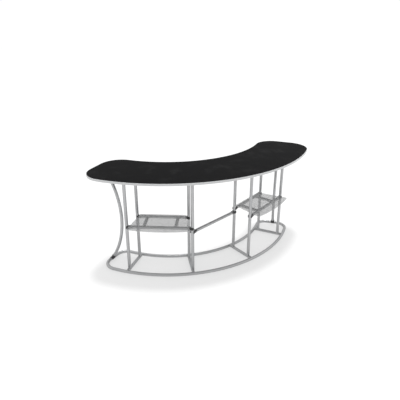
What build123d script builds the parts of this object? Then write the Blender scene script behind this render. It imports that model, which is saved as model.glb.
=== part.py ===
from build123d import *
import os
from math import asin, cos, degrees, radians, sin, tan

# Curved service counter: a bare frame of round tube under a black top, with two
# shelves and one diagonal brace held to the uprights by claw clamps.
# Plan angles are counted from the customer side (-Y), positive towards +X, about
# the arc centre of the rings.  Everything is drawn about that centre and then
# moved so that the origin is on the floor, under the middle of the whole plan.

# ---------------------------------------------------------------- overall sizes
overall_height = 1016.0
ring_front_radius = 1378.0
ring_rear_radius = 1046.0
ladder_pitch = 27.0           # degrees between neighbouring pairs of uprights
ladder_count = 4

# ---------------------------------------------------------------- tubes
tube_radius = 15.0
tube_wall = 2.0
upright_front_inset = 54.0    # front ring centreline to front upright axis
upright_rear_inset = 47.0

# ---------------------------------------------------------------- rings
ring_end_angle_past_ladder = 12.0
ring_front_corner = 120.0     # centreline bend radius
ring_rear_corner = 100.0
joiner_half_length = 40.0
joiner_end_gap = 4.0          # from the joiner's end to the start of the bend
joiner_fit = 0.2
ring_joint_gap = 0.4          # hairline left between the tubes of a ring
bow_sagitta = 160.0
bow_front_shift = 12.0        # the bows' feet stand this far forward of the ring's middle
bow_cope_gap = 1.0            # a bow's coped end stops this short of the tube it stands on
saddle_wall = 3.5
saddle_socket = 52.0          # along the bow, from the ring's centreline
saddle_width = 40.0           # along the ring's end tube
saddle_floor_gap = 8.0

# ---------------------------------------------------------------- counter top
top_thickness = 20.0
top_front_overhang = 165.0    # past the front ring's centreline, at the middle
top_rear_overhang = 81.0
top_front_centre_back = 22.0  # how far the edge's own arc centre lies behind
top_rear_centre_back = 84.0
top_end_angle_past_ring = 2.9
top_end_slant = 10.1          # the end edges lean this much from radial
top_front_corner = 208.0
top_rear_corner = 194.0
edge_band = 3.0
edge_round = 1.2
top_screw_radius = 3.0
top_screw_head_radius = 6.5
top_screw_head_height = 3.5
top_screw_bite = 13.0
top_screw_spacing = 130.0

# ---------------------------------------------------------------- shelves, brace
shelf_height = 473.0          # bar centrelines above the floor
brace_height = 436.0
cross_bar_spacing = 300.0
panel_thickness = 6.0
panel_side_gap = 1.5          # degrees between panel side and upright line
panel_front_reach = 86.0      # past the front upright's radius
panel_rear_reach = 13.0
panel_corner = 14.0

# ---------------------------------------------------------------- claw clamps
slide_gap = 0.3               # clearance between parts that move past each other
pin_clearance = 0.05
clamp_half_height = 12.0
core_half_width = 5.0
jaw_thickness = 5.7
jaw_core_gap = 1.5
clamp_body_length = 37.0
pivot_reach = 19.0
knuckle_radius = 4.7
lug_radius = 4.4
lug_half_height = 4.0
pivot_pin_radius = 2.0
screw_head_radius = 4.2
screw_head_height = 2.3
jaw_screw_radius = 1.9
jaw_screw_head = 2.0
jaw_screw_reach = 12.5
shoulder_thickness = 5.0
spigot_length = 30.0
spigot_fit = 0.2
fixed_hook_end = 100.0        # degrees round the upright from the bar's side
swing_hook_start = 27.0
swing_hook_end = 125.0

# ---------------------------------------------------------------- snap buttons
button_radius = 4.0
button_proud = 3.0
button_length = 14.0
button_flange = 1.0
button_flange_thickness = 1.5
button_travel = 5.0
button_offset = 18.0          # along the tube from the joint

# ---------------------------------------------------------------- derived
top_underside = overall_height - top_thickness
base_height = tube_radius
top_ring_height = top_underside - tube_radius
last_ladder = ladder_pitch * (ladder_count - 1) / 2
ladder_angles = [ladder_pitch * i - last_ladder for i in range(ladder_count)]
ring_end_angle = last_ladder + ring_end_angle_past_ladder
front_turn = degrees(asin(ring_front_corner / (ring_front_radius - ring_front_corner)))
rear_turn = degrees(asin(ring_rear_corner / (ring_rear_radius + ring_rear_corner)))
joint_reach = joiner_half_length + joiner_end_gap
ring_joint_angle = ring_end_angle - max(
    front_turn + degrees(joint_reach / ring_front_radius),
    rear_turn + degrees(joint_reach / ring_rear_radius),
)
front_upright_radius = ring_front_radius - upright_front_inset
rear_upright_radius = ring_rear_radius + upright_rear_inset
bow_station = (ring_front_radius + ring_rear_radius) / 2 + bow_front_shift
bore_radius = tube_radius - tube_wall
joiner_radius = bore_radius - joiner_fit
button_tip = tube_radius + button_proud
levels = {"base": base_height, "top": top_ring_height}
middle = Vector(0, 0, 0)

os.makedirs("parts", exist_ok=True)


# ---------------------------------------------------------------- small helpers
def outward(angle):
    return Vector(sin(radians(angle)), -cos(radians(angle)), 0)


def along(angle):
    return Vector(cos(radians(angle)), sin(radians(angle)), 0)


def polar(radius, angle, height=0.0):
    return outward(angle) * radius + Vector(0, 0, height)


def rod(start, end, radius, wall=None):
    """Straight round bar, or tube when a wall is given, from one point to another."""
    run = end - start
    section = Circle(radius) if wall is None else Circle(radius) - Circle(radius - wall)
    return extrude(Plane(start, z_dir=run) * section, run.length)


def arc_rod(centre, path_radius, first, last, radius, wall=None):
    """Round bar or tube bent about a vertical axis, between two plan angles."""
    section = Circle(radius) if wall is None else Circle(radius) - Circle(radius - wall)
    plane = Plane(centre + outward(first) * path_radius, x_dir=outward(first), z_dir=along(first))
    return revolve(plane * section, Axis(centre, (0, 0, 1)), last - first)


def block(low, high):
    size = Vector(*high) - Vector(*low)
    middle = (Vector(*high) + Vector(*low)) * 0.5
    return Pos(*middle) * Box(size.X, size.Y, size.Z)


def mirrored(shape):
    return mirror(shape, about=Plane.YZ)


# ---------------------------------------------------------------- counter top
def top_outline():
    """Banana plan: two arcs with their own centres, slanted ends, round corners."""
    front_radius = ring_front_radius + top_front_overhang + top_front_centre_back
    rear_radius = ring_rear_radius - top_rear_overhang + top_rear_centre_back
    end_angle = ring_end_angle + top_end_angle_past_ring
    end_point = polar((ring_front_radius + ring_rear_radius) / 2, end_angle)
    end_run = outward(end_angle - top_end_slant)
    apex = end_point - end_run * (end_point.X / end_run.X)
    far = apex + end_run * (3 * ring_front_radius)
    wedge = make_face(Polyline(apex, far, Vector(-far.X, far.Y), close=True))
    disc = Pos(0, top_front_centre_back) * Circle(front_radius)
    hollow = Pos(0, top_rear_centre_back) * Circle(rear_radius)
    plan = (disc - hollow) & wedge
    corners = plan.vertices().sort_by(Axis.Y)
    by_reach = sorted(corners, key=lambda v: Vector(v.X, v.Y, 0).length)
    plan = fillet(by_reach[2:], top_front_corner)
    corners = sorted(plan.vertices(), key=lambda v: Vector(v.X, v.Y, 0).length)
    return fillet(corners[:2], top_rear_corner)


top_plan = top_outline()
plan_box = top_plan.bounding_box()
to_origin = Pos(0, -(plan_box.min.Y + plan_box.max.Y) / 2, 0)


def save(name, shape):
    export_step(to_origin * shape, f"parts/{name}.step")


def save_group(name, shapes):
    save(name, Compound([shape.solid() for shape in shapes]))


top_screw_radii = [
    (front_upright_radius + rear_upright_radius + side * top_screw_spacing) / 2 for side in (-1, 1)
]
top_screw_spots = [polar(radius, angle) for angle in ladder_angles for radius in top_screw_radii]
top_screw_foot = top_ring_height - tube_radius


def make_counter_top():
    core_plan = offset(top_plan, amount=-edge_band)
    slab = Pos(0, 0, top_underside) * extrude(core_plan, top_thickness)
    band = Pos(0, 0, top_underside) * extrude(top_plan - core_plan, top_thickness)
    outer_rims = [
        e for e in band.edges().filter_by(lambda e: abs((e @ 0).Z - (e @ 1).Z) < 1e-6)
        if not core_plan.face().is_inside(Vector((e @ 0.5).X, (e @ 0.5).Y, 0))
        and core_plan.distance_to(Vector((e @ 0.5).X, (e @ 0.5).Y, 0)) > edge_band / 2
    ]
    band = fillet(outer_rims, edge_round)
    hole = Cylinder(top_screw_radius + pin_clearance, 2 * top_screw_bite)
    for spot in top_screw_spots:
        slab -= Pos(spot.X, spot.Y, top_underside) * hole
    save("counter_top", slab)
    save("counter_top_edge", band)


def make_top_screws():
    length = top_underside + top_screw_bite - top_screw_foot - 1
    shank = extrude(Circle(top_screw_radius), length)
    head = extrude(Circle(top_screw_head_radius), -top_screw_head_height)
    socket = Pos(0, 0, -top_screw_head_height) * extrude(RegularPolygon(3, 6), 2)
    screw = shank + head - socket
    screws = [Pos(s.X, s.Y, top_screw_foot) * screw for s in top_screw_spots]
    save_group("top_screws", screws)


# ---------------------------------------------------------------- rings
def ring_end(wall=None):
    """Right-hand end of a ring: two long-arc stubs, two bends and a straight run."""
    front_bend = polar(ring_front_radius - ring_front_corner, ring_end_angle - front_turn)
    rear_bend = polar(ring_rear_radius + ring_rear_corner, ring_end_angle - rear_turn)
    front_tip = (ring_front_radius - ring_front_corner) * cos(radians(front_turn))
    rear_tip = (ring_rear_radius + ring_rear_corner) * cos(radians(rear_turn))
    tips = [polar(radius, ring_end_angle) for radius in (front_tip, rear_tip)]
    front_start = ring_end_angle - front_turn
    rear_start = ring_end_angle - rear_turn
    across = ring_end_angle + 90
    pieces = [
        arc_rod(middle, ring_front_radius, ring_joint_angle, front_start, tube_radius, wall),
        arc_rod(front_bend, ring_front_corner, front_start, across, tube_radius, wall),
        rod(*tips, tube_radius, wall),
        arc_rod(rear_bend, ring_rear_corner, across, rear_start + 180, tube_radius, wall),
        arc_rod(middle, ring_rear_radius, ring_joint_angle, rear_start, tube_radius, wall),
    ]
    whole = pieces[0]
    for piece in pieces[1:]:
        whole += piece
    return whole


def button_place():
    """At the right-hand snap button: on the tube's centreline, facing the arc centre."""
    angle = ring_joint_angle + degrees(button_offset / ring_front_radius)
    return Plane(polar(ring_front_radius, angle), x_dir=along(angle), z_dir=-outward(angle)).location


def snap_button():
    shaft = Pos(0, 0, button_tip - button_length) * extrude(Circle(button_radius), button_length)
    shaft = fillet(shaft.edges().sort_by(Axis.Z)[-1], button_radius * 0.45)
    rim_radius = button_radius + button_flange
    rim_top = (bore_radius ** 2 - rim_radius ** 2) ** 0.5 - slide_gap
    rim = Circle(rim_radius)
    flange = Pos(0, 0, rim_top - button_flange_thickness) * extrude(rim, button_flange_thickness)
    return button_place() * (shaft + flange)


def joiner(radius, pocket=None):
    """Curved plug inside the tubes at a ring joint; the front one holds the button."""
    reach = degrees(joiner_half_length / radius)
    plug = arc_rod(middle, radius, ring_joint_angle - reach, ring_joint_angle + reach, joiner_radius)
    return plug if pocket is None else plug - pocket


def make_rings():
    hole = extrude(Circle(button_radius + slide_gap), tube_radius + 1)
    end = ring_end(tube_wall) - button_place() * hole
    button = snap_button()
    pocket_floor = button_tip - button_length - button_travel - slide_gap
    pocket = extrude(Circle(button_radius + button_flange + slide_gap), tube_radius)
    pocket = button_place() * Pos(0, 0, pocket_floor) * pocket
    plugs = [joiner(ring_front_radius, pocket), joiner(ring_rear_radius)]
    joiners = []
    for name, height in levels.items():
        lift = Pos(0, 0, height)
        save(f"{name}_ring_right_end", lift * end)
        save(f"{name}_ring_left_end", lift * mirrored(end))
        for side, radius in (("front", ring_front_radius), ("rear", ring_rear_radius)):
            reach = ring_joint_angle - degrees(ring_joint_gap / radius)
            arc = arc_rod(middle, radius, -reach, reach, tube_radius, tube_wall)
            save(f"{name}_ring_{side}", lift * arc)
        save(f"{name}_right_snap_button", lift * button)
        save(f"{name}_left_snap_button", lift * mirrored(button))
        joiners += [lift * piece for plug in plugs for piece in (plug, mirrored(plug))]
    save_group("ring_joiners", joiners)


# ---------------------------------------------------------------- ladders
def cross_tube():
    """Tube between the rings at the middle of the plan, coped to both of them."""
    tube = rod(polar(ring_rear_radius, 0), polar(ring_front_radius, 0), tube_radius, tube_wall)
    for radius in (ring_front_radius, ring_rear_radius):
        tube -= arc_rod(middle, radius, -ladder_pitch / 2, ladder_pitch / 2, tube_radius)
    return tube


def upright(radius):
    """Upright at the middle of the plan, coped to the cross tubes it stands between."""
    tube = rod(polar(radius, 0, base_height), polar(radius, 0, top_ring_height), tube_radius, tube_wall)
    for height in levels.values():
        ends = [polar(r, 0, height) for r in (ring_rear_radius, ring_front_radius)]
        tube -= rod(*ends, tube_radius)
    return tube


def make_ladders():
    tube = cross_tube()
    drilled = tube
    for radius in top_screw_radii:
        hole = Cylinder(top_screw_radius + pin_clearance, 4 * tube_radius)
        drilled -= Pos(*polar(radius, 0)) * hole
    for name, piece in (("base", tube), ("top", drilled)):
        copies = [Pos(0, 0, levels[name]) * Rot(0, 0, angle) * piece for angle in ladder_angles]
        save_group(f"{name}_cross_tubes", copies)
    for side, radius in (("front", front_upright_radius), ("rear", rear_upright_radius)):
        piece = upright(radius)
        for number, angle in enumerate(ladder_angles, start=1):
            save(f"{side}_upright_{number}", Rot(0, 0, angle) * piece)


# ---------------------------------------------------------------- end bows
def bow_arc(share, radius, wall=None):
    """Lower share of an arc square to the ring's end tube, bulging towards the middle."""
    half_height = (top_ring_height - base_height) / 2
    bend = (half_height ** 2 + bow_sagitta ** 2) / (2 * bow_sagitta)
    foot = polar(bow_station, ring_end_angle, base_height)
    centre = foot + Vector(0, 0, half_height) + along(ring_end_angle) * (bend - bow_sagitta)
    axis_run = outward(ring_end_angle) * -1
    section = Circle(radius) if wall is None else Circle(radius) - Circle(radius - wall)
    plane = Plane(foot, x_dir=axis_run, z_dir=axis_run.cross(foot - centre))
    whole_turn = 2 * degrees(asin(half_height / bend))
    return revolve(plane * section, Axis(centre, axis_run), whole_turn * share)


def saddle(end_rod):
    """T-shaped socket: a sleeve over the end tube and a collar round the bow's foot."""
    foot = polar(bow_station, ring_end_angle, base_height)
    side = outward(ring_end_angle) * (saddle_width / 2)
    sleeve = rod(foot - side, foot + side, tube_radius + saddle_wall)
    collar = bow_arc(0.5, tube_radius + saddle_wall) & (Pos(*foot) * Sphere(saddle_socket))
    body = sleeve + collar - end_rod - bow_arc(0.5, tube_radius)
    span = 4 * saddle_socket
    body &= Pos(foot.X, foot.Y, saddle_floor_gap + span / 2) * Box(span, span, span)
    return body.solids().sort_by(SortBy.VOLUME)[-1]


def make_bows():
    tips = [polar(radius, ring_end_angle, base_height) for radius in (ring_front_radius, ring_rear_radius)]
    cope = rod(*tips, tube_radius + bow_cope_gap)
    mid_plane = Plane.XY.offset((base_height + top_ring_height) / 2)
    bow = bow_arc(1.0, tube_radius, tube_wall) - cope - mirror(cope, about=mid_plane)
    bow = bow.solids().sort_by(SortBy.VOLUME)[-1]
    save("right_bow", bow)
    save("left_bow", mirrored(bow))
    foot = saddle(rod(*tips, tube_radius))
    pair = [foot, mirror(foot, about=mid_plane)]
    save_group("bow_saddles", pair + [mirrored(piece) for piece in pair])


# ---------------------------------------------------------------- claw clamp
grip_radius = tube_radius + slide_gap
pivot_u = grip_radius + pivot_reach
pivot_v = core_half_width + knuckle_radius + slide_gap
arm_inner = core_half_width + jaw_core_gap
arm_outer = pivot_v + knuckle_radius
bar_start = grip_radius + clamp_body_length
grip_cut = Cylinder(grip_radius, 4 * clamp_half_height)
pin_hole = Pos(pivot_u, pivot_v, 0) * Cylinder(pivot_pin_radius + pin_clearance, 4 * clamp_half_height)
jaw_screw_u = grip_radius + jaw_screw_reach
jaw_screw_plane = Plane((jaw_screw_u, -arm_outer, 0), z_dir=(0, 1, 0)).location
jaw_screw_length = arm_outer + core_half_width - 2
jaw_screw_hole = jaw_screw_plane * extrude(Circle(jaw_screw_radius + pin_clearance), jaw_screw_length)


def hook(first, last):
    """Part ring round the upright, between two angles from the bar's direction."""
    run = Vector(cos(radians(first)), sin(radians(first)), 0)
    plane = Plane((0, 0, 0), x_dir=run, z_dir=run.cross(Vector(0, 0, 1)))
    middle = grip_radius + jaw_thickness / 2
    section = plane * Pos(middle, 0) * Rectangle(jaw_thickness, 2 * clamp_half_height)
    return revolve(section, Axis.Z, last - first)


def clamp_core():
    """Saddle block with a lug for the swing jaw, a shoulder and a spigot for the bar."""
    low = (tube_radius / 2, -core_half_width, -clamp_half_height)
    high = (bar_start - shoulder_thickness / 2, core_half_width, clamp_half_height)
    core = block(low, high)
    core += Pos(pivot_u, pivot_v, 0) * Cylinder(lug_radius, 2 * lug_half_height)
    core += block((pivot_u - lug_radius, 0, -lug_half_height), (pivot_u + lug_radius, pivot_v, lug_half_height))
    shoulder = Plane((bar_start - shoulder_thickness, 0, 0), z_dir=(1, 0, 0)).location
    core += shoulder * extrude(Circle(tube_radius), shoulder_thickness)
    core += shoulder * extrude(Circle(bore_radius - spigot_fit), shoulder_thickness + spigot_length)
    return core - grip_cut - pin_hole - jaw_screw_hole


def fixed_jaw():
    start = degrees(asin(core_half_width / grip_radius))
    low = (tube_radius / 2, -arm_outer, -clamp_half_height)
    high = (pivot_u + knuckle_radius, -core_half_width, clamp_half_height)
    jaw = hook(-fixed_hook_end, -start) + block(low, high)
    core_side = block((0, -core_half_width, -clamp_half_height), (pivot_u, 0, clamp_half_height))
    jaw = jaw - grip_cut - core_side - jaw_screw_hole
    long_edges = jaw.edges().filter_by(Axis.Z).filter_by(lambda e: (e @ 0.5).Y < -arm_outer + 0.1)
    return fillet(long_edges, 2.0)


def swing_jaw():
    low = (tube_radius / 2, arm_inner, -clamp_half_height)
    high = (pivot_u, arm_outer, clamp_half_height)
    jaw = hook(swing_hook_start, swing_hook_end) + block(low, high)
    jaw += Pos(pivot_u, pivot_v, 0) * Cylinder(knuckle_radius, 2 * clamp_half_height)
    recess_radius = lug_radius + 2 * slide_gap
    recess_half = lug_half_height + slide_gap
    jaw -= Pos(pivot_u, pivot_v, 0) * Cylinder(recess_radius, 2 * recess_half)
    jaw -= block((pivot_u - recess_radius, 0, -recess_half), (pivot_u + recess_radius, pivot_v, recess_half))
    return jaw - grip_cut - pin_hole


def clamp_screws():
    """The pivot screw with its nut, and the short screw that holds the fixed jaw."""
    face = clamp_half_height + slide_gap
    pin = Cylinder(pivot_pin_radius, 2 * (face + screw_head_height) - 0.5)
    head = Pos(0, 0, face) * extrude(Circle(screw_head_radius), screw_head_height)
    head -= Pos(0, 0, face + screw_head_height) * extrude(RegularPolygon(2.2, 6), -1.4)
    nut = Pos(0, 0, -face) * extrude(RegularPolygon(screw_head_radius, 6), -screw_head_height)
    socket = Pos(0, 0, face + screw_head_height) * extrude(RegularPolygon(2.2, 6), -1.4)
    pivot = Pos(pivot_u, pivot_v, 0) * (pin + head + nut - socket)
    shank = jaw_screw_plane * extrude(Circle(jaw_screw_radius), jaw_screw_length - 1)
    button = jaw_screw_plane * extrude(Circle(screw_head_radius), -jaw_screw_head)
    return [pivot, shank + button]


clamp_shapes = {
    "core": clamp_core(),
    "fixed": fixed_jaw(),
    "swing": swing_jaw(),
    "screws": clamp_screws(),
}


def make_bar(group, bar_name, ends, holders):
    """A tube between two uprights, with a clamp at each end; gathers the clamp pieces."""
    run = (ends[1] - ends[0]).normalized()
    bar = rod(ends[0] + run * bar_start, ends[1] - run * bar_start, tube_radius, tube_wall)
    save(bar_name, bar)
    for (label, foot), direction in zip(holders, (run, run * -1)):
        place = Plane(foot, x_dir=direction, z_dir=(0, 0, 1)).location
        group["cores"].append(place * clamp_shapes["core"])
        group["fixed"].append(place * clamp_shapes["fixed"])
        group["screws"] += [place * screw for screw in clamp_shapes["screws"]]
        save(f"{label}_jaw", place * clamp_shapes["swing"])


def save_clamps(name, group):
    save_group(f"{name}_clamp_cores", group["cores"])
    save_group(f"{name}_fixed_jaws", group["fixed"])
    save_group(f"{name}_clamp_screws", group["screws"])


def new_group():
    return {"cores": [], "fixed": [], "screws": []}


# ---------------------------------------------------------------- shelves
def make_panel(mid_angle):
    """Clear panel lying on the bars: radial sides, arc in front, straight at the back."""
    half_angle = ladder_pitch / 2 - panel_side_gap
    front_radius = front_upright_radius + panel_front_reach
    rear_line = rear_upright_radius * cos(radians(ladder_pitch / 2)) - panel_rear_reach
    rear = rear_line / cos(radians(half_angle))
    corners = [(rear, -half_angle), (front_radius, -half_angle), (front_radius, half_angle), (rear, half_angle)]
    points = [polar(radius, mid_angle + angle) for radius, angle in corners]
    sides = [
        Line(points[0], points[1]),
        ThreePointArc(points[1], polar(front_radius, mid_angle), points[2]),
        Line(points[2], points[3]),
        Line(points[3], points[0]),
    ]
    plan = make_face(sides)
    plan = fillet(plan.vertices(), panel_corner)
    return Pos(0, 0, shelf_height + tube_radius) * extrude(plan, panel_thickness)


def make_shelf(name, lower, upper):
    mid_angle = (lower + upper) / 2
    group = new_group()
    bars = []
    for side, radius in (("front", front_upright_radius), ("rear", rear_upright_radius)):
        ends = [polar(radius, angle, shelf_height) for angle in (lower, upper)]
        labels = [f"{name}_{side}_{end}" for end in ("left", "right")]
        make_bar(group, f"{name}_{side}_bar", ends, list(zip(labels, ends)))
        bars.append(rod(*ends, tube_radius))
    rear_line = rear_upright_radius * cos(radians(ladder_pitch / 2))
    front_line = front_upright_radius * cos(radians(ladder_pitch / 2))
    cross_bars = []
    for side in (-1, 1):
        shift = along(mid_angle) * (side * cross_bar_spacing / 2)
        ends = [polar(line, mid_angle, shelf_height) + shift for line in (rear_line, front_line)]
        cross_bars.append(rod(*ends, tube_radius, tube_wall) - bars[0] - bars[1])
    save_group(f"{name}_cross_bars", cross_bars)
    save(f"{name}_panel", make_panel(mid_angle))
    save_clamps(name, group)


def make_brace():
    """Level bar from the second ladder's front upright to the third's rear upright."""
    group = new_group()
    ends = [
        polar(front_upright_radius, ladder_angles[1], brace_height),
        polar(rear_upright_radius, ladder_angles[2], brace_height),
    ]
    make_bar(group, "brace_bar", ends, list(zip(("brace_front", "brace_rear"), ends)))
    save_clamps("brace", group)


make_counter_top()
make_top_screws()
make_rings()
make_ladders()
make_bows()
make_shelf("left_shelf", ladder_angles[0], ladder_angles[1])
make_shelf("right_shelf", ladder_angles[2], ladder_angles[3])
make_brace()
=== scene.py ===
from math import atan, pi, radians

import bpy
import numpy as np
from bpy.props import FloatProperty, FloatVectorProperty, IntProperty, PointerProperty
from bpy.types import Operator, Panel, PropertyGroup
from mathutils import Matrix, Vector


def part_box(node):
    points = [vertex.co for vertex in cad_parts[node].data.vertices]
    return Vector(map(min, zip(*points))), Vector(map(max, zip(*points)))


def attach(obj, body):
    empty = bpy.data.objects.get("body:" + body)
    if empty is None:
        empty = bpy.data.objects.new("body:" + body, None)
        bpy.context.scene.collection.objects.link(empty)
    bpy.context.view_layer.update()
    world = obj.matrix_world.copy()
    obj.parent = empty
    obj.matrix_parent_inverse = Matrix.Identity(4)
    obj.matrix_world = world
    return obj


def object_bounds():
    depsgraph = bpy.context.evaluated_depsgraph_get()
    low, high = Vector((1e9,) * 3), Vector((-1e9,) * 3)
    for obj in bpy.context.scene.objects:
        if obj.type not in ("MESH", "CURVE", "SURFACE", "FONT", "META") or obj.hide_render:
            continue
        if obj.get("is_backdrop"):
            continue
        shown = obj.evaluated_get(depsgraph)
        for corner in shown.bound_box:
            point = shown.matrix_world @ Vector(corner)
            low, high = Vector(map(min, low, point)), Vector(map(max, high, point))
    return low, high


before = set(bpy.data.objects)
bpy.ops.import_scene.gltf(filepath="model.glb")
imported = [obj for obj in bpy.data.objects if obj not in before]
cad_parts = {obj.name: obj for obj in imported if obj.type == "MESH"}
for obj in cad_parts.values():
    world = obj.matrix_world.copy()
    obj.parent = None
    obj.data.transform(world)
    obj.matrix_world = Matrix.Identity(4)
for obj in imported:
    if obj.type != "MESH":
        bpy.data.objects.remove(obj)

bl_info = {
    "name": "Curved Service Counter",
    "version": (1, 0, 0),
    "blender": (4, 5, 0),
    "location": "View3D > Sidebar > Counter",
    "description": "Finishes, welds and studio for a curved tube-frame service counter",
    "category": "Object",
}

CAD_BOX = [list(corner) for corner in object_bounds()]
LEVELS = ("base", "top")
SHELVES = ("left_shelf", "right_shelf")
UP = np.array((0.0, 0.0, 1.0))

GOLDEN_ANGLE = 2.399963       # radians; gives every bead another start
BEAD_FLATNESS = 0.8           # a bead's height over its half width
RIPPLE_HEIGHT = 0.10          # shares of the bead's radius
SWELL_HEIGHT = 0.07
SWELLS = 3
FLOOR_LINES = 25
FINE_GRAIN = 0.00001          # depths of surface grain, in metres
LAMINATE_GRAIN = 0.00003
WELD_FROST = 0.00004
COARSE_GRAIN = 0.00006

DUST_ON_TUBE = (0.62, 0.61, 0.59, 1.0)
DUST_ON_TOP = (0.20, 0.195, 0.185, 1.0)
DUST_ON_PANEL = (0.6, 0.6, 0.58, 1.0)
DUST_ON_NYLON = (0.25, 0.245, 0.235, 1.0)
TOP_SCRATCH = (0.10, 0.10, 0.10, 1.0)
SCREW_PLATING = (0.42, 0.42, 0.41)
BUTTON_PLATING = (0.55, 0.55, 0.54)


# ------------------------------------------------------------------ the frame's own lines
def plan_of(node):
    """Middle of a node's box, seen from above."""
    low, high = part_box(node)
    return np.array(((low.x + high.x) / 2, (low.y + high.y) / 2))


def circle_through(points):
    """Centre and radius of the circle nearest to some plan points.

    x squared plus y squared equals twice the centre dotted with the point, plus a constant,
    which is linear in the centre and the constant and is solved by least squares.
    """
    table = np.column_stack([2 * points, np.ones(len(points))])
    x, y, rest = np.linalg.lstsq(table, (points ** 2).sum(1), rcond=None)[0]
    return np.array((x, y)), float(np.sqrt(rest + x * x + y * y))


class Lines:
    """Centrelines of the tube frame, measured from the frame's boxes."""

    def __init__(self):
        numbers = range(1, 1 + sum(n.startswith("front_upright_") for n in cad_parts))
        self.front = np.array([plan_of(f"front_upright_{n}") for n in numbers])
        self.rear = np.array([plan_of(f"rear_upright_{n}") for n in numbers])
        self.centre, self.front_radius = circle_through(self.front)
        self.rear_radius = float(np.linalg.norm(self.rear - self.centre, axis=1).mean())
        low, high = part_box("base_ring_front")
        self.tube = (high.z - low.z) / 2
        self.ring_front = self.centre[1] - low.y - self.tube
        self.ring_rear = self.centre[1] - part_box("base_ring_rear")[0].y - self.tube
        rings = [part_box(f"{level}_ring_front") for level in LEVELS]
        self.levels = [sum(corner.z for corner in ring) / 2 for ring in rings]
        reach = self.front - self.centre
        self.outward = reach / np.linalg.norm(reach, axis=1)[:, None]


def long_axis(node):
    """Unit direction in which a node's vertices spread the most."""
    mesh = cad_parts[node].data
    points = np.empty(len(mesh.vertices) * 3, np.float32)
    mesh.vertices.foreach_get("co", points)
    points = points.reshape(-1, 3)
    return np.linalg.svd(points - points.mean(0), full_matrices=False)[2][0]


LINES = Lines()


# ------------------------------------------------------------------ node helpers
def add(tree, kind, settings=None, links=None):
    """New shader node; links maps input names or numbers to sockets or plain values."""
    node = tree.nodes.new(f"ShaderNode{kind}")
    for name, value in (settings or {}).items():
        setattr(node, name, value)
    for name, value in (links or {}).items():
        if isinstance(value, bpy.types.NodeSocket):
            tree.links.new(value, node.inputs[name])
        else:
            node.inputs[name].default_value = value
    return node


def maths(tree, operation, *values):
    node = add(tree, "Math", {"operation": operation}, dict(enumerate(values)))
    return node.outputs[0]


def blend_colour(tree, factor, first, second):
    node = add(tree, "Mix", {"data_type": "RGBA"}, {0: factor, 6: first, 7: second})
    return node.outputs[2]


def ramp(tree, value, low, high, first=0.0, second=1.0):
    """Smooth step of a value from low..high to first..second."""
    links = {0: value, 1: low, 2: high, 3: first, 4: second}
    return add(tree, "MapRange", {"interpolation_type": "SMOOTHSTEP"}, links).outputs[0]


def noise(tree, vector, scale, detail=2.0, roughness=0.5):
    links = {"Vector": vector, "Scale": scale, "Detail": detail, "Roughness": roughness}
    return add(tree, "TexNoise", None, links).outputs["Fac"]


def facing_up(tree):
    """How far a surface looks up: the third part of its normal."""
    normal = add(tree, "NewGeometry").outputs["Normal"]
    return add(tree, "SeparateXYZ", None, {0: normal}).outputs[2]


def new_group(name, inputs, outputs):
    """Empty node group with named sockets; inputs are (name, kind, default)."""
    group = bpy.data.node_groups.new(name, "ShaderNodeTree")
    for label, kind, default in inputs:
        kind = f"NodeSocket{kind}"
        socket = group.interface.new_socket(label, in_out="INPUT", socket_type=kind)
        if default is not None:
            socket.default_value = default
    for label, kind in outputs:
        group.interface.new_socket(label, in_out="OUTPUT", socket_type=f"NodeSocket{kind}")
    given = group.nodes.new("NodeGroupInput").outputs
    return group, given, group.nodes.new("NodeGroupOutput").inputs


def place(tree, group, **links):
    """Puts a node group into a material; underscores stand for spaces."""
    node = tree.nodes.new("ShaderNodeGroup")
    node.node_tree = bpy.data.node_groups[group]
    for name, value in links.items():
        socket = node.inputs[name.replace("_", " ")]
        if isinstance(value, bpy.types.NodeSocket):
            tree.links.new(value, socket)
        else:
            socket.default_value = value
    return node.outputs


# ------------------------------------------------------------------ shared effects
def make_plan_polar():
    """Object place turned into distance, height and arc length about the rings' centre."""
    group, given, out = new_group(
        "plan_polar",
        [("Place", "Vector", None), ("Centre", "Vector", None), ("Arc Radius", "Float", 1.0)],
        [("Along Arc", "Vector"), ("Along Radius", "Vector")],
    )
    from_centre = add(group, "VectorMath", {"operation": "SUBTRACT"}, {0: given[0], 1: given[1]})
    x, y, z = add(group, "SeparateXYZ", None, {0: from_centre.outputs[0]}).outputs
    squares = maths(group, "MULTIPLY", x, x), maths(group, "MULTIPLY", y, y)
    distance = maths(group, "SQRT", maths(group, "ADD", *squares))
    angle = maths(group, "ARCTAN2", x, maths(group, "MULTIPLY", y, -1.0))
    arc = maths(group, "MULTIPLY", angle, given[2])
    group.links.new(add(group, "CombineXYZ", None, {0: distance, 1: z, 2: arc}).outputs[0], out[0])
    group.links.new(add(group, "CombineXYZ", None, {0: arc, 1: z, 2: distance}).outputs[0], out[1])


def make_drawn_lines():
    """Fine lines left by drawing a tube, long in the given vector's third direction."""
    group, given, out = new_group(
        "drawn_lines",
        [
            ("Vector", "Vector", None), ("Lines per Metre", "Float", 900.0),
            ("Stretch", "Float", 0.012),
        ],
        [("Lines", "Float"), ("Drift", "Float")],
    )
    scale = add(group, "CombineXYZ", None, {0: 1.0, 1: 1.0, 2: given[2]}).outputs[0]
    drawn = add(group, "VectorMath", {"operation": "MULTIPLY"}, {0: given[0], 1: scale}).outputs[0]
    fine = noise(group, drawn, given[1], 3.0, 0.6)
    group.links.new(ramp(group, fine, 0.32, 0.68), out[0])
    group.links.new(ramp(group, noise(group, given[0], 7.0, 2.0), 0.3, 0.7), out[1])


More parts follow.
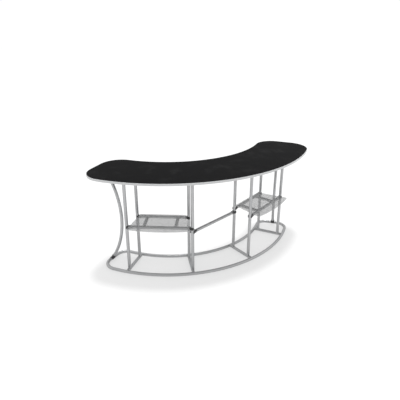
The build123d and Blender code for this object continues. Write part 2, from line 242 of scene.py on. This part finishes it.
def make_handling_marks():
    """Soft smudges from hands and a few hair scratches, as two masks."""
    group, given, out = new_group(
        "handling_marks",
        [("Vector", "Vector", None), ("Smudge Size", "Float", 14.0), ("Scratches", "Float", 60.0)],
        [("Smudges", "Float"), ("Scratches", "Float")],
    )
    cloud = noise(group, given[0], given[1], 4.0, 0.62)
    group.links.new(ramp(group, cloud, 0.47, 0.72), out[0])
    slanting = {"Vector": given[0], "Rotation": (0.0, 0.0, 0.6), "Scale": (1.0, 0.035, 1.0)}
    turned = add(group, "Mapping", None, slanting)
    hair = noise(group, turned.outputs[0], given[2], 2.0, 0.5)
    broken = ramp(group, noise(group, given[0], 9.0, 1.0), 0.52, 0.66)
    group.links.new(maths(group, "MULTIPLY", ramp(group, hair, 0.70, 0.74), broken), out[1])


def make_settled_dust():
    """Thin dust on faces that look up, thicker in clouds."""
    group, given, out = new_group(
        "settled_dust", [("Vector", "Vector", None), ("Amount", "Float", 0.3)], [("Dust", "Float")]
    )
    up = facing_up(group)
    lying = ramp(group, up, 0.45, 0.98)
    cloud = ramp(group, noise(group, given[0], 5.0, 5.0, 0.65), 0.35, 0.75)
    speck = ramp(group, noise(group, given[0], 900.0, 2.0, 0.7), 0.42, 0.72)
    mask = maths(group, "MULTIPLY", maths(group, "MULTIPLY", cloud, speck), lying)
    group.links.new(maths(group, "MULTIPLY", mask, given[1]), out[0])


def make_moulded_skin():
    """Close pebble texture of a moulded or pressed surface, as a height and a tone."""
    group, given, out = new_group(
        "moulded_skin",
        [("Vector", "Vector", None), ("Pebbles per Metre", "Float", 1500.0)],
        [("Height", "Float"), ("Tone", "Float")],
    )
    pebbles = {"Vector": given[0], "Scale": given[1], "Smoothness": 0.6}
    cells = add(group, "TexVoronoi", {"feature": "SMOOTH_F1"}, pebbles)
    group.links.new(maths(group, "SUBTRACT", 1.0, cells.outputs["Distance"]), out[0])
    group.links.new(ramp(group, noise(group, given[0], 60.0, 4.0, 0.6), 0.3, 0.7), out[1])


def make_shared_effects():
    make_plan_polar()
    make_drawn_lines()
    make_handling_marks()
    make_settled_dust()
    make_moulded_skin()


# ------------------------------------------------------------------ finishes
def new_finish(name, **constants):
    """Material with one Principled shader; returns it with its tree, shader and object place."""
    material = bpy.data.materials.new(name)
    material.use_nodes = True
    tree = material.node_tree
    shader = tree.nodes["Principled BSDF"]
    for socket, value in constants.items():
        shader.inputs[socket.replace("_", " ")].default_value = value
    return material, tree, shader, add(tree, "TexCoord").outputs["Object"]


def finish_shader(tree, shader, body, rough, height, depth):
    """Links a finish's colour, roughness and surface grain to its shader."""
    grain = add(tree, "Bump", None, {"Height": height, "Distance": depth, "Strength": 1.0})
    tree.links.new(body, shader.inputs["Base Color"])
    tree.links.new(rough, shader.inputs["Roughness"])
    tree.links.new(grain.outputs[0], shader.inputs["Normal"])


def tint(colour, share):
    """The colour made lighter or darker by a share, as RGBA."""
    return (*(min(1.0, c * share) for c in colour), 1.0)


def drawn_alloy(name, look, vector_of):
    """Satin anodised tube: drawn lines along it, soft smudges, faint dust on top.

    vector_of makes, from the material's tree and place, a vector whose third part runs along
    the tube. The anodising dulls the metal where it is seen at a glancing angle.
    """
    dulled = (*(look.tube_glance,) * 3, 1.0)
    material, tree, shader, spot = new_finish(
        name, Metallic=1.0, Anisotropic=0.25, Specular_Tint=dulled
    )
    run = vector_of(tree, spot)
    drawn = place(tree, "drawn_lines", Vector=run)
    marks = place(tree, "handling_marks", Vector=spot, Smudge_Size=18.0, Scratches=160.0)
    dust = place(tree, "settled_dust", Vector=spot, Amount=look.dust)
    colour = look.tube_colour
    body = blend_colour(tree, drawn["Lines"], tint(colour, 0.94), tint(colour, 1.05))
    drift = maths(tree, "MULTIPLY", drawn["Drift"], 0.35)
    body = blend_colour(tree, drift, body, tint(colour, 0.88))
    body = blend_colour(tree, dust["Dust"], body, DUST_ON_TUBE)
    rough = maths(tree, "ADD", look.tube_roughness, maths(tree, "MULTIPLY", drawn["Lines"], 0.05))
    rough = maths(tree, "ADD", rough, maths(tree, "MULTIPLY", marks["Smudges"], 0.10))
    rough = maths(tree, "ADD", rough, maths(tree, "MULTIPLY", marks["Scratches"], 0.12))
    finish_shader(tree, shader, body, rough, drawn["Lines"], FINE_GRAIN)
    return material


def polar_of(tree, spot):
    centre = (*LINES.centre, 0.0)
    return place(tree, "plan_polar", Place=spot, Centre=centre, Arc_Radius=float(LINES.ring_front))


def along_arc(tree, spot):
    return polar_of(tree, spot)["Along Arc"]


def along_radius(tree, spot):
    return polar_of(tree, spot)["Along Radius"]


def rotated(tree, vector, rotation):
    return add(tree, "Mapping", None, {"Vector": vector, "Rotation": rotation}).outputs[0]


def along_direction(direction):
    """Vector maker for a straight tube: the place turned so that the direction becomes Z."""
    x, y, z = (float(part) for part in direction)
    heading = float(np.arctan2(y, x))
    tilt = float(np.arctan2(np.hypot(x, y), z))

    def vector_of(tree, spot):
        level = rotated(tree, spot, (0.0, 0.0, -heading))
        return rotated(tree, level, (0.0, -tilt, 0.0))

    return vector_of


def black_laminate(look):
    """Matt black laminate: a close pressed texture, wiping marks and a little dust."""
    material, tree, shader, spot = new_finish("black_laminate", Specular_IOR_Level=look.top_gloss)
    skin = place(tree, "moulded_skin", Vector=spot, Pebbles_per_Metre=1100.0)
    marks = place(tree, "handling_marks", Vector=spot, Smudge_Size=5.0, Scratches=45.0)
    dust = place(tree, "settled_dust", Vector=spot, Amount=look.dust * 0.01)
    colour = look.top_colour
    body = blend_colour(tree, skin["Tone"], tint(colour, 0.94), tint(colour, 1.08))
    body = blend_colour(tree, maths(tree, "MULTIPLY", marks["Scratches"], 0.04), body, TOP_SCRATCH)
    body = blend_colour(tree, dust["Dust"], body, DUST_ON_TOP)
    rough = maths(tree, "SUBTRACT", 0.62, maths(tree, "MULTIPLY", marks["Smudges"], 0.12))
    finish_shader(tree, shader, body, rough, skin["Height"], LAMINATE_GRAIN)
    return material


def grey_edging(look):
    """Light grey plastic edging: faint rolled lines round the rim and small knocks."""
    material, tree, shader, spot = new_finish("grey_edging", Specular_IOR_Level=0.35)
    rolled = add(tree, "Mapping", None, {"Vector": spot, "Scale": (0.03, 0.03, 1.0)}).outputs[0]
    lines = ramp(tree, noise(tree, rolled, 1500.0, 3.0, 0.6), 0.3, 0.7)
    knocks = place(tree, "handling_marks", Vector=spot, Smudge_Size=70.0, Scratches=220.0)
    body = blend_colour(tree, lines, tint(look.edging_colour, 0.96), tint(look.edging_colour, 1.03))
    knocked = maths(tree, "MULTIPLY", knocks["Smudges"], 0.22)
    body = blend_colour(tree, knocked, body, tint(look.edging_colour, 0.72))
    rough = maths(tree, "ADD", 0.36, maths(tree, "MULTIPLY", knocks["Smudges"], 0.14))
    finish_shader(tree, shader, body, rough, lines, FINE_GRAIN)
    return material


def frosted_panel(look):
    """Grey frosted sheet: the bars under it show through; its cut edges are paler."""
    material, tree, shader, spot = new_finish(
        "frosted_panel", Specular_IOR_Level=0.45, Alpha=look.panel_cover, IOR=1.49
    )
    skin = place(tree, "moulded_skin", Vector=spot, Pebbles_per_Metre=2200.0)
    marks = place(tree, "handling_marks", Vector=spot, Smudge_Size=9.0, Scratches=70.0)
    dust = place(tree, "settled_dust", Vector=spot, Amount=look.dust)
    up = facing_up(tree)
    cut = ramp(tree, maths(tree, "ABSOLUTE", up), 0.2, 0.8, 1.0, 0.0)
    colour = look.panel_colour
    body = blend_colour(tree, skin["Tone"], tint(colour, 0.95), tint(colour, 1.05))
    body = blend_colour(tree, cut, body, tint(colour, 1.5))
    body = blend_colour(tree, dust["Dust"], body, DUST_ON_PANEL)
    rough = maths(tree, "ADD", 0.34, maths(tree, "MULTIPLY", marks["Smudges"], 0.15))
    finish_shader(tree, shader, body, rough, skin["Height"], FINE_GRAIN)
    return material


def black_nylon(look):
    """Glass-filled nylon: pebbled black, slightly worn where it is handled."""
    material, tree, shader, spot = new_finish("black_nylon", Specular_IOR_Level=0.3)
    skin = place(tree, "moulded_skin", Vector=spot, Pebbles_per_Metre=1400.0)
    marks = place(tree, "handling_marks", Vector=spot, Smudge_Size=90.0, Scratches=300.0)
    dust = place(tree, "settled_dust", Vector=spot, Amount=look.dust * 0.5)
    colour = look.nylon_colour
    body = blend_colour(tree, skin["Tone"], tint(colour, 0.85), tint(colour, 1.2))
    worn = maths(tree, "MULTIPLY", marks["Smudges"], 0.25)
    body = blend_colour(tree, worn, body, tint(colour, 2.0))
    body = blend_colour(tree, dust["Dust"], body, DUST_ON_NYLON)
    rough = maths(tree, "ADD", 0.48, maths(tree, "MULTIPLY", skin["Tone"], 0.1))
    finish_shader(tree, shader, body, rough, skin["Height"], COARSE_GRAIN)
    return material


def tumbled_casting(look):
    """Cast alloy, tumbled: soft orange-peel, darker in its low spots."""
    material, tree, shader, spot = new_finish("tumbled_casting", Metallic=1.0)
    skin = place(tree, "moulded_skin", Vector=spot, Pebbles_per_Metre=700.0)
    peel = noise(tree, spot, 420.0, 4.0, 0.6)
    colour = look.casting_colour
    body = blend_colour(tree, ramp(tree, peel, 0.35, 0.65), tint(colour, 0.82), tint(colour, 1.06))
    body = blend_colour(tree, maths(tree, "MULTIPLY", skin["Tone"], 0.2), body, tint(colour, 0.8))
    rough = maths(tree, "ADD", 0.4, maths(tree, "MULTIPLY", peel, 0.18))
    finish_shader(tree, shader, body, rough, peel, COARSE_GRAIN)
    return material


def plated_steel(name, colour, roughness, streaks):
    """Plated steel: fine turning streaks in height and small tarnish spots."""
    material, tree, shader, spot = new_finish(name, Metallic=1.0)
    ringed = add(tree, "Mapping", None, {"Vector": spot, "Scale": (0.05, 0.05, 1.0)}).outputs[0]
    turned = ramp(tree, noise(tree, ringed, streaks, 3.0, 0.6), 0.3, 0.7)
    tarnish = ramp(tree, noise(tree, spot, 300.0, 4.0, 0.65), 0.5, 0.72)
    body = blend_colour(tree, turned, tint(colour, 0.9), tint(colour, 1.08))
    body = blend_colour(tree, maths(tree, "MULTIPLY", tarnish, 0.4), body, tint(colour, 0.62))
    rough = maths(tree, "ADD", roughness, maths(tree, "MULTIPLY", tarnish, 0.2))
    finish_shader(tree, shader, body, rough, turned, FINE_GRAIN)
    return material


def give(material, *nodes):
    """Puts one material on CAD nodes, in place of the plain ones they came with."""
    for name in nodes:
        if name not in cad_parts:
            raise RuntimeError(f"the frame has no node {name}")
        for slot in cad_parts[name].material_slots:
            slot.material = material


def nodes_called(*endings):
    """CAD nodes whose names end in one of these, in order."""
    return sorted(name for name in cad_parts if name.endswith(endings))


# ------------------------------------------------------------------ weld beads
def weld_path(centre, stem, run, tube, softness, phi):
    """Line where one tube ends on another of the same radius, and its outward direction.

    Round the ending tube by angle phi, the point is the tube's radius times (cos phi along
    the other tube, sin phi across both); its height along the stem is the root of the square
    of radius times cos phi plus the square of the softness, which rounds the two sharp turns.
    """
    across = np.cross(stem, run)
    c, s = np.cos(phi)[None, :, None], np.sin(phi)[None, :, None]
    flat = run[:, None] * c + across[:, None] * s
    lift = np.sqrt((tube * c) ** 2 + softness ** 2)
    path = centre[:, None] + tube * flat + lift * stem[:, None]
    out = flat + across[:, None] * s + stem[:, None] * np.abs(c)
    return path, out


def bead_surfaces(centre, stem, run, tube, bead):
    """Closed rope of weld round each tube end: a circle carried along the weld path.

    The circle is pressed flat by the bead's flatness. Its radius swells and falls with the
    cosine of the ripple count times phi, and a slower sine of a few times phi, with its own
    start for each bead, keeps them from looking alike.
    """
    phi = np.linspace(0, 2 * pi, bead.round_steps, endpoint=False)
    theta = np.linspace(0, 2 * pi, bead.section_steps, endpoint=False)
    path, out = weld_path(centre, stem, run, tube, bead.softness, phi)
    tangent = np.roll(path, -1, 1) - np.roll(path, 1, 1)
    tangent /= np.linalg.norm(tangent, axis=2, keepdims=True)
    out -= (out * tangent).sum(2, keepdims=True) * tangent
    out /= np.linalg.norm(out, axis=2, keepdims=True)
    side = np.cross(tangent, out)
    starts = np.arange(len(centre))[:, None] * GOLDEN_ANGLE
    ripple = RIPPLE_HEIGHT * np.cos(bead.ripples * phi)[None]
    swell = SWELL_HEIGHT * np.sin(SWELLS * phi[None] + starts)
    radius = (bead.radius * (1 + ripple + swell))[:, :, None, None]
    circle = np.cos(theta)[:, None] * out[:, :, None] * BEAD_FLATNESS
    circle = circle + np.sin(theta)[:, None] * side[:, :, None]
    return path[:, :, None] + radius * circle


def filed_at_floor(points, rest):
    """Bead points kept above the floor, as if filed off where the ring stands on it.

    Below the rest height, a point's height becomes the rest height times e to the power of
    its own height less the rest height, over the rest height; so it nears the floor but
    never reaches it, and neighbouring points stay apart.
    """
    height = points[:, 2]
    filed = rest * np.exp(np.minimum(height - rest, 0.0) / rest)
    return np.column_stack([points[:, :2], np.where(height < rest, filed, height)])


def closed_grid_faces(count, rows, columns):
    """Quads of several grids that close on themselves in both directions."""
    i, j = np.meshgrid(np.arange(rows), np.arange(columns), indexing="ij")
    corner = lambda a, b: (a % rows) * columns + b % columns
    one = np.stack([corner(i, j), corner(i, j + 1), corner(i + 1, j + 1), corner(i + 1, j)], -1)
    return (one.reshape(1, -1, 4) + np.arange(count)[:, None, None] * rows * columns).reshape(-1, 4)


def faces_outward(points, faces):
    """The faces, turned if the volume they enclose comes out negative."""
    a, b, c, d = (points[faces[:, k]] for k in range(4))
    volume = (np.cross(a, b) * c).sum() + (np.cross(a, c) * d).sum()
    return faces if volume > 0 else faces[:, ::-1]


def new_piece(name, points, faces, material, smooth=True):
    """Mesh object at the origin, from whole arrays of points and quads."""
    mesh = bpy.data.meshes.new(name)
    mesh.vertices.add(len(points))
    mesh.vertices.foreach_set("co", np.asarray(points, np.float32).ravel())
    mesh.loops.add(faces.size)
    mesh.loops.foreach_set("vertex_index", np.asarray(faces, np.int32).ravel())
    mesh.polygons.add(len(faces))
    starts = np.arange(0, faces.size, faces.shape[1], dtype=np.int32)
    mesh.polygons.foreach_set("loop_start", starts)
    mesh.update(calc_edges=True)
    mesh.validate()
    mesh.polygons.foreach_set("use_smooth", np.full(len(mesh.polygons), smooth))
    mesh.materials.append(material)
    piece = bpy.data.objects.new(name, mesh)
    bpy.context.scene.collection.objects.link(piece)
    return piece


def weld_stations():
    """Centre, stem and run of every welded tube end, for both levels of the frame."""
    outward = np.column_stack([LINES.outward, np.zeros(len(LINES.outward))])
    sideways = np.cross(UP, outward)
    hub = np.array((*LINES.centre, 0.0))
    centres, stems, runs = [], [], []
    for height, inward in zip(LINES.levels, (1.0, -1.0)):
        lift = UP * height
        for plan in (LINES.front, LINES.rear):
            centres.append(np.column_stack([plan, np.zeros(len(plan))]) + lift)
            stems.append(np.tile(UP * inward, (len(plan), 1)))
            runs.append(outward)
        for radius, away in ((LINES.ring_front, -1.0), (LINES.ring_rear, 1.0)):
            centres.append(hub + outward * radius + lift)
            stems.append(outward * away)
            runs.append(sideways)
    return np.concatenate(centres), np.concatenate(stems), np.concatenate(runs)


def weld_alloy(look):
    """Bare weld metal: brighter than the tube, with a frosty skin."""
    material, tree, shader, spot = new_finish("weld_alloy", Metallic=1.0)
    frost = noise(tree, spot, 900.0, 4.0, 0.7)
    soot = ramp(tree, noise(tree, spot, 45.0, 3.0, 0.6), 0.45, 0.75)
    body = blend_colour(tree, frost, tint(look.tube_colour, 0.9), tint(look.tube_colour, 1.2))
    body = blend_colour(tree, maths(tree, "MULTIPLY", soot, 0.3), body, tint(look.tube_colour, 0.6))
    rough = ramp(tree, frost, 0.2, 0.8, 0.34, 0.55)
    finish_shader(tree, shader, body, rough, frost, WELD_FROST)
    return material


# ------------------------------------------------------------------ properties
def colour_property(name, description, default):
    return FloatVectorProperty(
        name=name, description=description, default=default, size=3, subtype="COLOR",
        min=0.0, max=1.0,
    )


class CounterFinishes(PropertyGroup):
    """Colours and gloss of the counter's materials."""

    tube_colour: colour_property("Tube", "Anodised tube", (0.47, 0.474, 0.48))
    casting_colour: colour_property("Casting", "Clamp cores", (0.46, 0.465, 0.47))
    top_colour: colour_property("Top", "Laminate of the counter top", (0.0033, 0.0033, 0.0036))
    edging_colour: colour_property("Edging", "Band round the counter top", (0.58, 0.585, 0.59))
    panel_colour: colour_property("Panel", "Frosted shelf sheet", (0.46, 0.465, 0.47))
    nylon_colour: colour_property("Nylon", "Jaws and saddles", (0.034, 0.034, 0.035))
    tube_roughness: FloatProperty(
        name="Tube Roughness", description="Roughness of the tube between marks",
        default=0.38, min=0.0, max=1.0, subtype="FACTOR",
    )
    tube_glance: FloatProperty(
        name="Tube Glance",
        description="Share of the glancing reflection that the anodising lets through",
        default=0.45, min=0.0, max=1.0, subtype="FACTOR",
    )
    top_gloss: FloatProperty(
        name="Top Gloss", description="Specular level of the laminate",
        default=0.03, min=0.0, max=1.0, subtype="FACTOR",
    )
    panel_cover: FloatProperty(
        name="Panel Cover", description="Share of the light that each face of the sheet stops",
        default=0.45, min=0.0, max=1.0, subtype="FACTOR",
    )
    dust: FloatProperty(
        name="Dust", description="Amount of settled dust",
        default=0.3, min=0.0, max=1.0, subtype="FACTOR",
    )


class CounterWelds(PropertyGroup):
    """Size and fineness of the weld beads."""

    radius: FloatProperty(
        name="Bead Radius", description="Mean radius of a bead",
        default=0.0022, unit="LENGTH", precision=5,
    )
    softness: FloatProperty(
        name="Corner Rounding", description="Rounding of a bead's two turns",
        default=0.0024, unit="LENGTH", precision=5,
    )
    floor_rest: FloatProperty(
        name="Floor Rest", description="Height under which a bead is filed off", default=0.0008,
        unit="LENGTH", precision=5,
    )
    ripples: IntProperty(name="Ripples", description="Ripples round one bead", default=36, min=1)
    round_steps: IntProperty(
        name="Steps Round", description="Points along a bead",
        default=144, min=8,
    )
    section_steps: IntProperty(
        name="Section Steps", description="Points round a bead's section",
        default=10, min=6,
    )


class CounterStudio(PropertyGroup):
    """Camera, lights and floor."""

    camera_place: FloatVectorProperty(
        name="Camera Place", description="Where the camera stands",
        default=(-1.5553, -3.2126, 2.2298), size=3, subtype="TRANSLATION",
    )
    camera_turn: FloatVectorProperty(
        name="Camera Turn", description="Camera rotation",
        default=(radians(69.110), radians(-0.515), radians(-24.959)), size=3, subtype="EULER",
    )
    lens: FloatProperty(
        name="Lens", description="Focal length",
        default=35.40, subtype="DISTANCE_CAMERA",
    )
    shift: FloatVectorProperty(
        name="Shift", description="Lens shift", default=(-0.0232, -0.0574), size=2,
    )
    walls: FloatProperty(
        name="Walls", description="Brightness of the room near the horizon",
        default=1.02, min=0.0,
    )
    ceiling: FloatProperty(
        name="Ceiling", description="Brightness of the room overhead",
        default=0.90, min=0.0,
    )
    near_wall: FloatProperty(
        name="Near Wall", description="Share of the light that the wall behind the viewer gives",
        default=0.64, min=0.0,
    )
    near_wall_way: FloatVectorProperty(
        name="Near Wall Way", description="Direction of the wall behind the viewer",
        default=(-0.42, -0.88, -0.2), size=3, subtype="DIRECTION",
    )
    overhead: FloatProperty(
        name="Overhead Light", description="Strength of the light from above",
        default=2.2, min=0.0,
    )
    overhead_spread: FloatProperty(
        name="Overhead Spread", description="Angular size of the light from above",
        default=radians(8.0), subtype="ANGLE",
    )
    overhead_turn: FloatVectorProperty(
        name="Overhead Turn", description="Rotation of the light from above",
        default=(-atan(0.038), atan(0.066), 0.0), size=3, subtype="EULER",
    )
    floor_white: FloatProperty(
        name="Floor White", description="Reflectance of the floor",
        default=0.35, min=0.0, max=1.0,
    )
    floor_glow: FloatProperty(
        name="Floor Glow", description="Light that the floor gives off",
        default=0.56, min=0.0,
    )
    floor_reach: FloatProperty(
        name="Floor Reach", description="Half the side of the floor",
        default=40.0, unit="LENGTH",
    )


# ------------------------------------------------------------------ operators
class COUNTER_OT_worktop(Operator):
    """Finish the laminate top, its grey edging and the screws under it"""

    bl_idname = "counter.worktop"
    bl_label = "Counter Top"

    def execute(self, context):
        look = context.scene.counter_finishes
        give(black_laminate(look), "counter_top")
        give(grey_edging(look), "counter_top_edge")
        screws = plated_steel("plated_screws", SCREW_PLATING, 0.3, 2600.0)
        give(screws, "top_screws", *nodes_called("_clamp_screws"))
        return {"FINISHED"}


class COUNTER_OT_rings(Operator):
    """Finish the two rings, their joiners, snap buttons and cross tubes"""

    bl_idname = "counter.rings"
    bl_label = "Rings"

    def execute(self, context):
        look = context.scene.counter_finishes
        arcs = drawn_alloy("drawn_alloy_arcs", look, along_arc)
        give(arcs, *nodes_called("_ring_front", "_ring_rear", "_ring_left_end", "_ring_right_end"))
        cross = drawn_alloy("drawn_alloy_cross_tubes", look, along_radius)
        give(cross, *nodes_called("_cross_tubes"))
        buttons = plated_steel("bright_buttons", BUTTON_PLATING, 0.2, 3200.0)
        give(buttons, *nodes_called("_snap_button"))
        give(tumbled_casting(look), "ring_joiners", *nodes_called("_clamp_cores"))
        return {"FINISHED"}


class COUNTER_OT_uprights(Operator):
    """Finish the eight uprights"""

    bl_idname = "counter.uprights"
    bl_label = "Uprights"

    def execute(self, context):
        look = context.scene.counter_finishes
        uprights = [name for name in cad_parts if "_upright_" in name]
        give(drawn_alloy("drawn_alloy_uprights", look, along_direction(UP)), *uprights)
        return {"FINISHED"}


class COUNTER_OT_bows(Operator):
    """Finish the two end bows and the saddles they stand in"""

    bl_idname = "counter.bows"
    bl_label = "Bows"

    def execute(self, context):
        look = context.scene.counter_finishes
        give(drawn_alloy("drawn_alloy_bows", look, along_direction(UP)), "left_bow", "right_bow")
        give(black_nylon(look), "bow_saddles", *nodes_called("_fixed_jaws", "_jaw"))
        return {"FINISHED"}


class COUNTER_OT_shelves(Operator):
    """Finish the shelf bars, their cross bars and panels, and the brace"""

    bl_idname = "counter.shelves"
    bl_label = "Shelves and Brace"

    def execute(self, context):
        look = context.scene.counter_finishes
        for unit in SHELVES:
            long_way = long_axis(f"{unit}_front_bar")
            bars = (f"{unit}_front_bar", f"{unit}_rear_bar")
            give(drawn_alloy(f"drawn_alloy_{unit}", look, along_direction(long_way)), *bars)
            short_way = along_direction(np.cross(UP, long_way))
            give(drawn_alloy(f"drawn_alloy_{unit}_cross", look, short_way), f"{unit}_cross_bars")
        slanting = along_direction(long_axis("brace_bar"))
        give(drawn_alloy("drawn_alloy_brace", look, slanting), "brace_bar")
        give(frosted_panel(look), *nodes_called("_panel"))
        return {"FINISHED"}


class COUNTER_OT_welds(Operator):
    """Lay a weld bead round every tube end that stands on another tube"""

    bl_idname = "counter.welds"
    bl_label = "Weld Beads"

    def execute(self, context):
        bead = context.scene.counter_welds
        centre, stem, run = weld_stations()
        surface = bead_surfaces(centre, stem, run, LINES.tube, bead)
        points = filed_at_floor(surface.reshape(-1, 3), bead.floor_rest)
        faces = closed_grid_faces(len(centre), bead.round_steps, bead.section_steps)
        faces = faces_outward(points, faces)
        welds = new_piece("frame_welds", points, faces, weld_alloy(context.scene.counter_finishes))
        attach(welds, "frame")
        return {"FINISHED"}


class COUNTER_OT_stage(Operator):
    """Set up the pale floor, soft light and camera"""

    bl_idname = "counter.stage"
    bl_label = "Studio"

    def execute(self, context):
        studio = context.scene.counter_studio
        make_floor(studio)
        make_room(context.scene, studio)
        overhead_light(studio)
        make_camera(context.scene, studio)
        return {"FINISHED"}


def make_floor(studio):
    """Square floor: a grid whose lines stand off by the square of their number from the middle."""
    steps = np.linspace(-1, 1, FLOOR_LINES)
    x, y = np.meshgrid(*(studio.floor_reach * steps * np.abs(steps),) * 2, indexing="ij")
    points = np.stack([x, y, np.zeros_like(x)], -1).reshape(-1, 3)
    i, j = np.meshgrid(*(np.arange(FLOOR_LINES - 1),) * 2, indexing="ij")
    corner = lambda a, b: a * FLOOR_LINES + b
    faces = np.stack([corner(i, j), corner(i + 1, j), corner(i + 1, j + 1), corner(i, j + 1)], -1)
    material, tree, shader, spot = new_finish(
        "pale_floor", Specular_IOR_Level=0.0, Roughness=0.9,
        Emission_Color=(1.0, 1.0, 1.0, 1.0), Emission_Strength=studio.floor_glow,
    )
    shade = studio.floor_white
    cloud = noise(tree, spot, 3.0, 3.0)
    body = blend_colour(tree, cloud, tint((shade,) * 3, 0.98), tint((shade,) * 3, 1.02))
    tree.links.new(body, shader.inputs["Base Color"])
    new_piece("floor", points, faces.reshape(-1, 4), material, smooth=False)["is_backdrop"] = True


def make_room(scene, studio):
    """White walls under a dimmer ceiling, with a dimmer wall behind the viewer.

    The light falls off with the third part of the direction looked in, and again with how
    far that direction points to the customer side.
    """
    world = bpy.data.worlds.new("white_room")
    world.use_nodes = True
    tree = world.node_tree
    looked = add(tree, "TexCoord").outputs["Generated"]
    up = add(tree, "SeparateXYZ", None, {0: looked}).outputs[2]
    ways = {0: looked, 1: studio.near_wall_way}
    toward = add(tree, "VectorMath", {"operation": "DOT_PRODUCT"}, ways)
    strength = maths(
        tree, "MULTIPLY", ramp(tree, up, 0.25, 0.9, studio.walls, studio.ceiling),
        ramp(tree, toward.outputs["Value"], 0.1, 0.95, 1.0, studio.near_wall),
    )
    tree.links.new(strength, tree.nodes["Background"].inputs["Strength"])
    tree.nodes["Background"].inputs["Color"].default_value = (1.0, 1.0, 1.0, 1.0)
    scene.world = world
    scene.view_settings.view_transform = "Standard"


def overhead_light(studio):
    """Soft light from almost straight above, which draws the top's shadow on the floor."""
    lamp = bpy.data.lights.new("overhead_light", "SUN")
    lamp.energy, lamp.angle = studio.overhead, studio.overhead_spread
    light = bpy.data.objects.new("overhead_light", lamp)
    light.rotation_euler = studio.overhead_turn
    bpy.context.scene.collection.objects.link(light)


def make_camera(scene, studio):
    data = bpy.data.cameras.new("camera")
    data.sensor_width = 36.0
    data.lens = studio.lens
    data.shift_x, data.shift_y = studio.shift
    camera = bpy.data.objects.new("camera", data)
    camera.location = studio.camera_place
    camera.rotation_euler = studio.camera_turn
    scene.collection.objects.link(camera)
    scene.camera = camera


class COUNTER_PT_sidebar(Panel):
    """Sidebar list of the counter's steps and settings"""

    bl_idname = "COUNTER_PT_sidebar"
    bl_label = "Service Counter"
    bl_space_type = "VIEW_3D"
    bl_region_type = "UI"
    bl_category = "Counter"

    def draw(self, context):
        for step in STEPS:
            self.layout.operator(step.bl_idname)
        for holder in ("counter_finishes", "counter_welds", "counter_studio"):
            settings = getattr(context.scene, holder)
            box = self.layout.box()
            for name in settings.__annotations__:
                box.prop(settings, name)


STEPS = (
    COUNTER_OT_worktop, COUNTER_OT_rings, COUNTER_OT_uprights, COUNTER_OT_bows,
    COUNTER_OT_shelves, COUNTER_OT_welds, COUNTER_OT_stage,
)
HOLDERS = {
    "counter_finishes": CounterFinishes,
    "counter_welds": CounterWelds,
    "counter_studio": CounterStudio,
}


def register():
    for kind in (*HOLDERS.values(), *STEPS, COUNTER_PT_sidebar):
        bpy.utils.register_class(kind)
    for name, kind in HOLDERS.items():
        setattr(bpy.types.Scene, name, PointerProperty(type=kind))


def unregister():
    for name in HOLDERS:
        delattr(bpy.types.Scene, name)
    for kind in (COUNTER_PT_sidebar, *reversed(STEPS), *HOLDERS.values()):
        bpy.utils.unregister_class(kind)


def main():
    register()
    make_shared_effects()
    bpy.ops.counter.worktop()
    bpy.ops.counter.rings()
    bpy.ops.counter.uprights()
    bpy.ops.counter.bows()
    bpy.ops.counter.shelves()
    bpy.ops.counter.welds()
    bpy.ops.counter.stage()
    {"cad": CAD_BOX, "visual": [list(corner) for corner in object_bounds()]}


if __name__ == "__main__":
    main()
